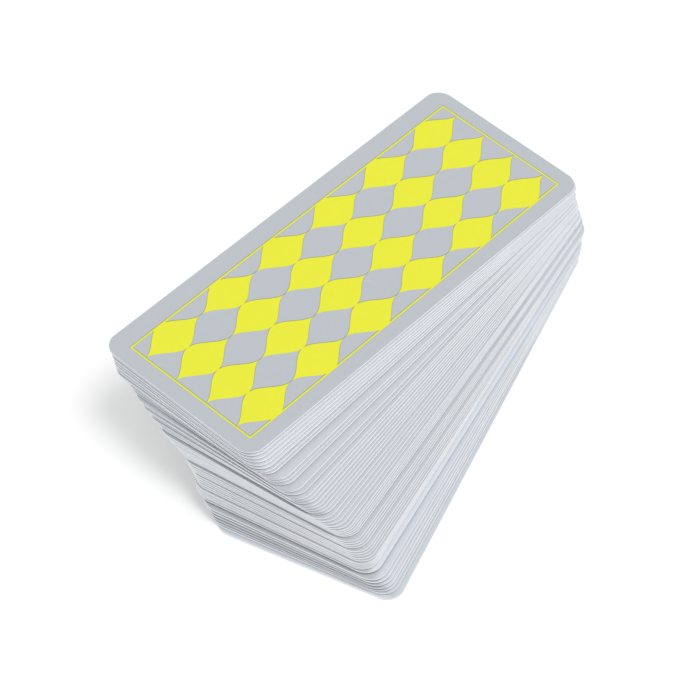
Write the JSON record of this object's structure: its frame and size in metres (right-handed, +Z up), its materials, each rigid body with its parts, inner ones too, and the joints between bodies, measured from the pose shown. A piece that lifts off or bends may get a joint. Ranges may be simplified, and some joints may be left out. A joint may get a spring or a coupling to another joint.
{
  "type": "playing card deck",
  "caption": "Face-down deck of slim playing cards with rounded corners, twisted open at one end; it fans out, squares up, can be cut and deals its top card.",
  "frame": {"origin": "centre of the lowest card's face, on the table", "axes": "+Z up through the stack; +Y along the lowest card's long side, towards the end where the deck is pinched"},
  "size_m": [0.0613, 0.0983, 0.0171],
  "materials": {
    "card_stock": "satin coated card"
  },
  "bodies": {
    "card_01_ace_of_spades": {"card_01_ace_of_spades": "card_stock"},
    "card_02_two_of_spades": {"card_02_two_of_spades": "card_stock"},
    "card_03_three_of_spades": {"card_03_three_of_spades": "card_stock"},
    "card_04_four_of_spades": {"card_04_four_of_spades": "card_stock"},
    "card_05_five_of_spades": {"card_05_five_of_spades": "card_stock"},
    "card_06_six_of_spades": {"card_06_six_of_spades": "card_stock"},
    "card_07_seven_of_spades": {"card_07_seven_of_spades": "card_stock"},
    "card_08_eight_of_spades": {"card_08_eight_of_spades": "card_stock"},
    "card_09_nine_of_spades": {"card_09_nine_of_spades": "card_stock"},
    "card_10_ten_of_spades": {"card_10_ten_of_spades": "card_stock"},
    "card_11_jack_of_spades": {"card_11_jack_of_spades": "card_stock"},
    "card_12_queen_of_spades": {"card_12_queen_of_spades": "card_stock"},
    "card_13_king_of_spades": {"card_13_king_of_spades": "card_stock"},
    "card_14_ace_of_hearts": {"card_14_ace_of_hearts": "card_stock"},
    "card_15_two_of_hearts": {"card_15_two_of_hearts": "card_stock"},
    "card_16_three_of_hearts": {"card_16_three_of_hearts": "card_stock"},
    "card_17_four_of_hearts": {"card_17_four_of_hearts": "card_stock"},
    "card_18_five_of_hearts": {"card_18_five_of_hearts": "card_stock"},
    "card_19_six_of_hearts": {"card_19_six_of_hearts": "card_stock"},
    "card_20_seven_of_hearts": {"card_20_seven_of_hearts": "card_stock"},
    "card_21_eight_of_hearts": {"card_21_eight_of_hearts": "card_stock"},
    "card_22_nine_of_hearts": {"card_22_nine_of_hearts": "card_stock"},
    "card_23_ten_of_hearts": {"card_23_ten_of_hearts": "card_stock"},
    "card_24_jack_of_hearts": {"card_24_jack_of_hearts": "card_stock"},
    "card_25_queen_of_hearts": {"card_25_queen_of_hearts": "card_stock"},
    "card_26_king_of_hearts": {"card_26_king_of_hearts": "card_stock"},
    "card_27_ace_of_clubs": {"card_27_ace_of_clubs": "card_stock"},
    "card_28_two_of_clubs": {"card_28_two_of_clubs": "card_stock"},
    "card_29_three_of_clubs": {"card_29_three_of_clubs": "card_stock"},
    "card_30_four_of_clubs": {"card_30_four_of_clubs": "card_stock"},
    "card_31_five_of_clubs": {"card_31_five_of_clubs": "card_stock"},
    "card_32_six_of_clubs": {"card_32_six_of_clubs": "card_stock"},
    "card_33_seven_of_clubs": {"card_33_seven_of_clubs": "card_stock"},
    "card_34_eight_of_clubs": {"card_34_eight_of_clubs": "card_stock"},
    "card_35_nine_of_clubs": {"card_35_nine_of_clubs": "card_stock"},
    "card_36_ten_of_clubs": {"card_36_ten_of_clubs": "card_stock"},
    "card_37_jack_of_clubs": {"card_37_jack_of_clubs": "card_stock"},
    "card_38_queen_of_clubs": {"card_38_queen_of_clubs": "card_stock"},
    "card_39_king_of_clubs": {"card_39_king_of_clubs": "card_stock"},
    "card_40_ace_of_diamonds": {"card_40_ace_of_diamonds": "card_stock"},
    "card_41_two_of_diamonds": {"card_41_two_of_diamonds": "card_stock"},
    "card_42_three_of_diamonds": {"card_42_three_of_diamonds": "card_stock"},
    "card_43_four_of_diamonds": {"card_43_four_of_diamonds": "card_stock"},
    "card_44_five_of_diamonds": {"card_44_five_of_diamonds": "card_stock"},
    "card_45_six_of_diamonds": {"card_45_six_of_diamonds": "card_stock"},
    "card_46_seven_of_diamonds": {"card_46_seven_of_diamonds": "card_stock"},
    "card_47_eight_of_diamonds": {"card_47_eight_of_diamonds": "card_stock"},
    "card_48_nine_of_diamonds": {"card_48_nine_of_diamonds": "card_stock"},
    "card_49_ten_of_diamonds": {"card_49_ten_of_diamonds": "card_stock"},
    "card_50_jack_of_diamonds": {"card_50_jack_of_diamonds": "card_stock"},
    "card_51_queen_of_diamonds": {"card_51_queen_of_diamonds": "card_stock"},
    "card_52_king_of_diamonds": {"card_52_king_of_diamonds": "card_stock"},
    "card_53_joker_black": {"card_53_joker_black": "card_stock"},
    "card_54_joker_red": {"card_54_joker_red": "card_stock"}
  },
  "joints": [
    {"name": "lower_fan_02", "type": "hinge", "parent": "card_01_ace_of_spades", "child": "card_02_two_of_spades", "pos_m": [-0.00018, 0.04407, 0.00047], "axis": [0, 0, -1], "range_deg": [-0.6, 2.68]},
    {"name": "lower_fan_03", "type": "hinge", "parent": "card_01_ace_of_spades", "child": "card_03_three_of_spades", "pos_m": [-0.00019, 0.04424, 0.00083], "axis": [0, 0, -1], "range_deg": [-0.94, 4.19]},
    {"name": "lower_fan_04", "type": "hinge", "parent": "card_01_ace_of_spades", "child": "card_04_four_of_spades", "pos_m": [-0.00009, 0.04431, 0.00129], "axis": [0, 0, -1], "range_deg": [-1.26, 5.62]},
    {"name": "lower_fan_05", "type": "hinge", "parent": "card_01_ace_of_spades", "child": "card_05_five_of_spades", "pos_m": [-0.00007, 0.04443, 0.00175], "axis": [0, 0, -1], "range_deg": [-1.58, 7.08]},
    {"name": "lower_fan_06", "type": "hinge", "parent": "card_01_ace_of_spades", "child": "card_06_six_of_spades", "pos_m": [-0.0001, 0.04454, 0.00221], "axis": [0, 0, -1], "range_deg": [-1.93, 8.64]},
    {"name": "lower_fan_07", "type": "hinge", "parent": "card_01_ace_of_spades", "child": "card_07_seven_of_spades", "pos_m": [-0.00008, 0.0446, 0.00267], "axis": [0, 0, -1], "range_deg": [-2.27, 10.16]},
    {"name": "lower_fan_08", "type": "hinge", "parent": "card_01_ace_of_spades", "child": "card_08_eight_of_spades", "pos_m": [-0.00014, 0.0453, 0.00318], "axis": [0, 0, -1], "range_deg": [-3.09, 13.84]},
    {"name": "lower_fan_09", "type": "hinge", "parent": "card_01_ace_of_spades", "child": "card_09_nine_of_spades", "pos_m": [-0.00082, 0.04547, 0.00352], "axis": [0, 0, -1], "range_deg": [-3.14, 14.04]},
    {"name": "lower_fan_10", "type": "hinge", "parent": "card_01_ace_of_spades", "child": "card_10_ten_of_spades", "pos_m": [-0.00072, 0.04547, 0.0038], "axis": [0, 0, -1], "range_deg": [-3.24, 14.51]},
    {"name": "lower_fan_11", "type": "hinge", "parent": "card_01_ace_of_spades", "child": "card_11_jack_of_spades", "pos_m": [-0.00065, 0.04551, 0.00408], "axis": [0, 0, -1], "range_deg": [-3.35, 14.98]},
    {"name": "lower_fan_12", "type": "hinge", "parent": "card_01_ace_of_spades", "child": "card_12_queen_of_spades", "pos_m": [-0.00058, 0.04546, 0.00436], "axis": [0, 0, -1], "range_deg": [-3.46, 15.5]},
    {"name": "lower_fan_13", "type": "hinge", "parent": "card_01_ace_of_spades", "child": "card_13_king_of_spades", "pos_m": [-0.00049, 0.0455, 0.00464], "axis": [0, 0, -1], "range_deg": [-3.55, 15.9]},
    {"name": "lower_fan", "type": "hinge", "parent": "card_01_ace_of_spades", "child": "card_14_ace_of_hearts", "pos_m": [-0.0004, 0.04545, 0.00492], "axis": [0, 0, -1], "range_deg": [-3.65, 16.35]},
    {"name": "cut", "type": "slide", "parent": "card_14_ace_of_hearts", "child": "card_15_two_of_hearts", "axis": [0, 0, 1], "range_m": [0, 0.06]},
    {"name": "upper_fan_16", "type": "hinge", "parent": "card_15_two_of_hearts", "child": "card_16_three_of_hearts", "pos_m": [-0.00034, 0.04588, 0.00554], "axis": [0, 0, -1], "range_deg": [-0.25, 1.4]},
    {"name": "upper_fan_17", "type": "hinge", "parent": "card_15_two_of_hearts", "child": "card_17_four_of_hearts", "pos_m": [-0.00036, 0.04604, 0.00582], "axis": [0, 0, -1], "range_deg": [-0.51, 2.89]},
    {"name": "upper_fan_18", "type": "hinge", "parent": "card_15_two_of_hearts", "child": "card_18_five_of_hearts", "pos_m": [-0.00034, 0.04618, 0.0061], "axis": [0, 0, -1], "range_deg": [-0.76, 4.26]},
    {"name": "upper_fan_19", "type": "hinge", "parent": "card_15_two_of_hearts", "child": "card_19_six_of_hearts", "pos_m": [-0.00031, 0.04631, 0.00638], "axis": [0, 0, -1], "range_deg": [-1.02, 5.76]},
    {"name": "upper_fan_20", "type": "hinge", "parent": "card_15_two_of_hearts", "child": "card_20_seven_of_hearts", "pos_m": [-0.00099, 0.04661, 0.00672], "axis": [0, 0, -1], "range_deg": [-0.99, 5.57]},
    {"name": "upper_fan_21", "type": "hinge", "parent": "card_15_two_of_hearts", "child": "card_21_eight_of_hearts", "pos_m": [-0.001, 0.04668, 0.007], "axis": [0, 0, -1], "range_deg": [-1.22, 6.89]},
    {"name": "upper_fan_22", "type": "hinge", "parent": "card_15_two_of_hearts", "child": "card_22_nine_of_hearts", "pos_m": [-0.001, 0.04677, 0.00728], "axis": [0, 0, -1], "range_deg": [-1.46, 8.24]},
    {"name": "upper_fan_23", "type": "hinge", "parent": "card_15_two_of_hearts", "child": "card_23_ten_of_hearts", "pos_m": [-0.00098, 0.04691, 0.00756], "axis": [0, 0, -1], "range_deg": [-1.71, 9.61]},
    {"name": "upper_fan_24", "type": "hinge", "parent": "card_15_two_of_hearts", "child": "card_24_jack_of_hearts", "pos_m": [-0.00151, 0.04736, 0.0079], "axis": [0, 0, -1], "range_deg": [-1.93, 10.87]},
    {"name": "upper_fan_25", "type": "hinge", "parent": "card_15_two_of_hearts", "child": "card_25_queen_of_hearts", "pos_m": [-0.00155, 0.04729, 0.00818], "axis": [0, 0, -1], "range_deg": [-2.1, 11.84]},
    {"name": "upper_fan_26", "type": "hinge", "parent": "card_15_two_of_hearts", "child": "card_26_king_of_hearts", "pos_m": [-0.00153, 0.04727, 0.00846], "axis": [0, 0, -1], "range_deg": [-2.29, 12.87]},
    {"name": "upper_fan_27", "type": "hinge", "parent": "card_15_two_of_hearts", "child": "card_27_ace_of_clubs", "pos_m": [-0.00155, 0.04718, 0.00874], "axis": [0, 0, -1], "range_deg": [-2.5, 14.06]},
    {"name": "upper_fan_28", "type": "hinge", "parent": "card_15_two_of_hearts", "child": "card_28_two_of_clubs", "pos_m": [-0.00157, 0.04712, 0.00902], "axis": [0, 0, -1], "range_deg": [-2.68, 15.12]},
    {"name": "upper_fan_29", "type": "hinge", "parent": "card_15_two_of_hearts", "child": "card_29_three_of_clubs", "pos_m": [-0.00195, 0.04708, 0.00936], "axis": [0, 0, -1], "range_deg": [-2.76, 15.54]},
    {"name": "upper_fan_30", "type": "hinge", "parent": "card_15_two_of_hearts", "child": "card_30_four_of_clubs", "pos_m": [-0.00197, 0.04706, 0.00964], "axis": [0, 0, -1], "range_deg": [-3.19, 17.97]},
    {"name": "upper_fan_31", "type": "hinge", "parent": "card_15_two_of_hearts", "child": "card_31_five_of_clubs", "pos_m": [-0.00195, 0.04708, 0.00992], "axis": [0, 0, -1], "range_deg": [-3.66, 20.6]},
    {"name": "upper_fan_32", "type": "hinge", "parent": "card_15_two_of_hearts", "child": "card_32_six_of_clubs", "pos_m": [-0.00197, 0.04706, 0.0102], "axis": [0, 0, -1], "range_deg": [-4.11, 23.15]},
    {"name": "upper_fan_33", "type": "hinge", "parent": "card_15_two_of_hearts", "child": "card_33_seven_of_clubs", "pos_m": [-0.00195, 0.04708, 0.01048], "axis": [0, 0, -1], "range_deg": [-4.57, 25.72]},
    {"name": "upper_fan_34", "type": "hinge", "parent": "card_15_two_of_hearts", "child": "card_34_eight_of_clubs", "pos_m": [-0.00207, 0.04761, 0.01082], "axis": [0, 0, -1], "range_deg": [-4.91, 27.65]},
    {"name": "upper_fan_35", "type": "hinge", "parent": "card_15_two_of_hearts", "child": "card_35_nine_of_clubs", "pos_m": [-0.00209, 0.04748, 0.0111], "axis": [0, 0, -1], "range_deg": [-5.27, 29.65]},
    {"name": "upper_fan_36", "type": "hinge", "parent": "card_15_two_of_hearts", "child": "card_36_ten_of_clubs", "pos_m": [-0.00213, 0.04742, 0.01138], "axis": [0, 0, -1], "range_deg": [-5.61, 31.57]},
    {"name": "upper_fan_37", "type": "hinge", "parent": "card_15_two_of_hearts", "child": "card_37_jack_of_clubs", "pos_m": [-0.00213, 0.04733, 0.01166], "axis": [0, 0, -1], "range_deg": [-5.99, 33.71]},
    {"name": "upper_fan_38", "type": "hinge", "parent": "card_15_two_of_hearts", "child": "card_38_queen_of_clubs", "pos_m": [-0.00213, 0.04726, 0.01194], "axis": [0, 0, -1], "range_deg": [-6.35, 35.73]},
    {"name": "upper_fan_39", "type": "hinge", "parent": "card_15_two_of_hearts", "child": "card_39_king_of_clubs", "pos_m": [-0.00221, 0.04738, 0.01228], "axis": [0, 0, -1], "range_deg": [-6.66, 37.51]},
    {"name": "upper_fan_40", "type": "hinge", "parent": "card_15_two_of_hearts", "child": "card_40_ace_of_diamonds", "pos_m": [-0.00223, 0.04736, 0.01256], "axis": [0, 0, -1], "range_deg": [-7.04, 39.67]},
    {"name": "upper_fan_41", "type": "hinge", "parent": "card_15_two_of_hearts", "child": "card_41_two_of_diamonds", "pos_m": [-0.00224, 0.04725, 0.01284], "axis": [0, 0, -1], "range_deg": [-7.39, 41.61]},
    {"name": "upper_fan_42", "type": "hinge", "parent": "card_15_two_of_hearts", "child": "card_42_three_of_diamonds", "pos_m": [-0.0024, 0.0475, 0.01318], "axis": [0, 0, -1], "range_deg": [-7.85, 44.21]},
    {"name": "upper_fan_43", "type": "hinge", "parent": "card_15_two_of_hearts", "child": "card_43_four_of_diamonds", "pos_m": [-0.00242, 0.04748, 0.01346], "axis": [0, 0, -1], "range_deg": [-8.4, 47.32]},
    {"name": "upper_fan_44", "type": "hinge", "parent": "card_15_two_of_hearts", "child": "card_44_five_of_diamonds", "pos_m": [-0.00251, 0.04792, 0.0138], "axis": [0, 0, -1], "range_deg": [-9.42, 53.04]},
    {"name": "upper_fan_45", "type": "hinge", "parent": "card_15_two_of_hearts", "child": "card_45_six_of_diamonds", "pos_m": [-0.0025, 0.04798, 0.01408], "axis": [0, 0, -1], "range_deg": [-9.79, 55.14]},
    {"name": "upper_fan_46", "type": "hinge", "parent": "card_15_two_of_hearts", "child": "card_46_seven_of_diamonds", "pos_m": [-0.00249, 0.04798, 0.01436], "axis": [0, 0, -1], "range_deg": [-10.15, 57.17]},
    {"name": "upper_fan_47", "type": "hinge", "parent": "card_15_two_of_hearts", "child": "card_47_eight_of_diamonds", "pos_m": [-0.00256, 0.04776, 0.0147], "axis": [0, 0, -1], "range_deg": [-11.41, 64.28]},
    {"name": "upper_fan_48", "type": "hinge", "parent": "card_15_two_of_hearts", "child": "card_48_nine_of_diamonds", "pos_m": [-0.00261, 0.04764, 0.01498], "axis": [0, 0, -1], "range_deg": [-11.74, 66.1]},
    {"name": "upper_fan_49", "type": "hinge", "parent": "card_15_two_of_hearts", "child": "card_49_ten_of_diamonds", "pos_m": [-0.00254, 0.04784, 0.01532], "axis": [0, 0, -1], "range_deg": [-12.11, 68.18]},
    {"name": "upper_fan_50", "type": "hinge", "parent": "card_15_two_of_hearts", "child": "card_50_jack_of_diamonds", "pos_m": [-0.00249, 0.04794, 0.01564], "axis": [0, 0, -1], "range_deg": [-12.47, 70.22]},
    {"name": "upper_fan_51", "type": "hinge", "parent": "card_15_two_of_hearts", "child": "card_51_queen_of_diamonds", "pos_m": [-0.00243, 0.04817, 0.01596], "axis": [0, 0, -1], "range_deg": [-12.81, 72.16]},
    {"name": "upper_fan_52", "type": "hinge", "parent": "card_15_two_of_hearts", "child": "card_52_king_of_diamonds", "pos_m": [-0.00239, 0.04826, 0.01628], "axis": [0, 0, -1], "range_deg": [-13.2, 74.33]},
    {"name": "upper_fan", "type": "hinge", "parent": "card_15_two_of_hearts", "child": "card_53_joker_black", "pos_m": [-0.00234, 0.04844, 0.0166], "axis": [0, 0, -1], "range_deg": [-13.57, 76.43]},
    {"name": "deal", "type": "slide", "parent": "card_53_joker_black", "child": "card_54_joker_red", "axis": [-0.9548, 0.2972, 0], "range_m": [-0.0004, 0.015]}
  ],
  "couplings": [
    {"joint": "lower_fan_02", "follows": "lower_fan", "ratio": 0.16374},
    {"joint": "lower_fan_03", "follows": "lower_fan", "ratio": 0.25605},
    {"joint": "lower_fan_04", "follows": "lower_fan", "ratio": 0.34369},
    {"joint": "lower_fan_05", "follows": "lower_fan", "ratio": 0.43307},
    {"joint": "lower_fan_06", "follows": "lower_fan", "ratio": 0.52812},
    {"joint": "lower_fan_07", "follows": "lower_fan", "ratio": 0.62161},
    {"joint": "lower_fan_08", "follows": "lower_fan", "ratio": 0.8464},
    {"joint": "lower_fan_09", "follows": "lower_fan", "ratio": 0.85853},
    {"joint": "lower_fan_10", "follows": "lower_fan", "ratio": 0.88717},
    {"joint": "lower_fan_11", "follows": "lower_fan", "ratio": 0.91623},
    {"joint": "lower_fan_12", "follows": "lower_fan", "ratio": 0.94797},
    {"joint": "lower_fan_13", "follows": "lower_fan", "ratio": 0.97258},
    {"joint": "upper_fan_16", "follows": "upper_fan", "ratio": 0.018267},
    {"joint": "upper_fan_17", "follows": "upper_fan", "ratio": 0.037857},
    {"joint": "upper_fan_18", "follows": "upper_fan", "ratio": 0.055714},
    {"joint": "upper_fan_19", "follows": "upper_fan", "ratio": 0.075338},
    {"joint": "upper_fan_20", "follows": "upper_fan", "ratio": 0.072909},
    {"joint": "upper_fan_21", "follows": "upper_fan", "ratio": 0.090084},
    {"joint": "upper_fan_22", "follows": "upper_fan", "ratio": 0.1078},
    {"joint": "upper_fan_23", "follows": "upper_fan", "ratio": 0.12576},
    {"joint": "upper_fan_24", "follows": "upper_fan", "ratio": 0.14216},
    {"joint": "upper_fan_25", "follows": "upper_fan", "ratio": 0.15488},
    {"joint": "upper_fan_26", "follows": "upper_fan", "ratio": 0.16844},
    {"joint": "upper_fan_27", "follows": "upper_fan", "ratio": 0.18394},
    {"joint": "upper_fan_28", "follows": "upper_fan", "ratio": 0.19776},
    {"joint": "upper_fan_29", "follows": "upper_fan", "ratio": 0.20332},
    {"joint": "upper_fan_30", "follows": "upper_fan", "ratio": 0.23513},
    {"joint": "upper_fan_31", "follows": "upper_fan", "ratio": 0.26946},
    {"joint": "upper_fan_32", "follows": "upper_fan", "ratio": 0.30293},
    {"joint": "upper_fan_33", "follows": "upper_fan", "ratio": 0.33645},
    {"joint": "upper_fan_34", "follows": "upper_fan", "ratio": 0.36172},
    {"joint": "upper_fan_35", "follows": "upper_fan", "ratio": 0.38797},
    {"joint": "upper_fan_36", "follows": "upper_fan", "ratio": 0.41302},
    {"joint": "upper_fan_37", "follows": "upper_fan", "ratio": 0.44102},
    {"joint": "upper_fan_38", "follows": "upper_fan", "ratio": 0.4675},
    {"joint": "upper_fan_39", "follows": "upper_fan", "ratio": 0.49073},
    {"joint": "upper_fan_40", "follows": "upper_fan", "ratio": 0.51897},
    {"joint": "upper_fan_41", "follows": "upper_fan", "ratio": 0.54442},
    {"joint": "upper_fan_42", "follows": "upper_fan", "ratio": 0.57841},
    {"joint": "upper_fan_43", "follows": "upper_fan", "ratio": 0.61918},
    {"joint": "upper_fan_44", "follows": "upper_fan", "ratio": 0.69401},
    {"joint": "upper_fan_45", "follows": "upper_fan", "ratio": 0.72145},
    {"joint": "upper_fan_46", "follows": "upper_fan", "ratio": 0.748},
    {"joint": "upper_fan_47", "follows": "upper_fan", "ratio": 0.84104},
    {"joint": "upper_fan_48", "follows": "upper_fan", "ratio": 0.86489},
    {"joint": "upper_fan_49", "follows": "upper_fan", "ratio": 0.89207},
    {"joint": "upper_fan_50", "follows": "upper_fan", "ratio": 0.91876},
    {"joint": "upper_fan_51", "follows": "upper_fan", "ratio": 0.9442},
    {"joint": "upper_fan_52", "follows": "upper_fan", "ratio": 0.97248}
  ]
}
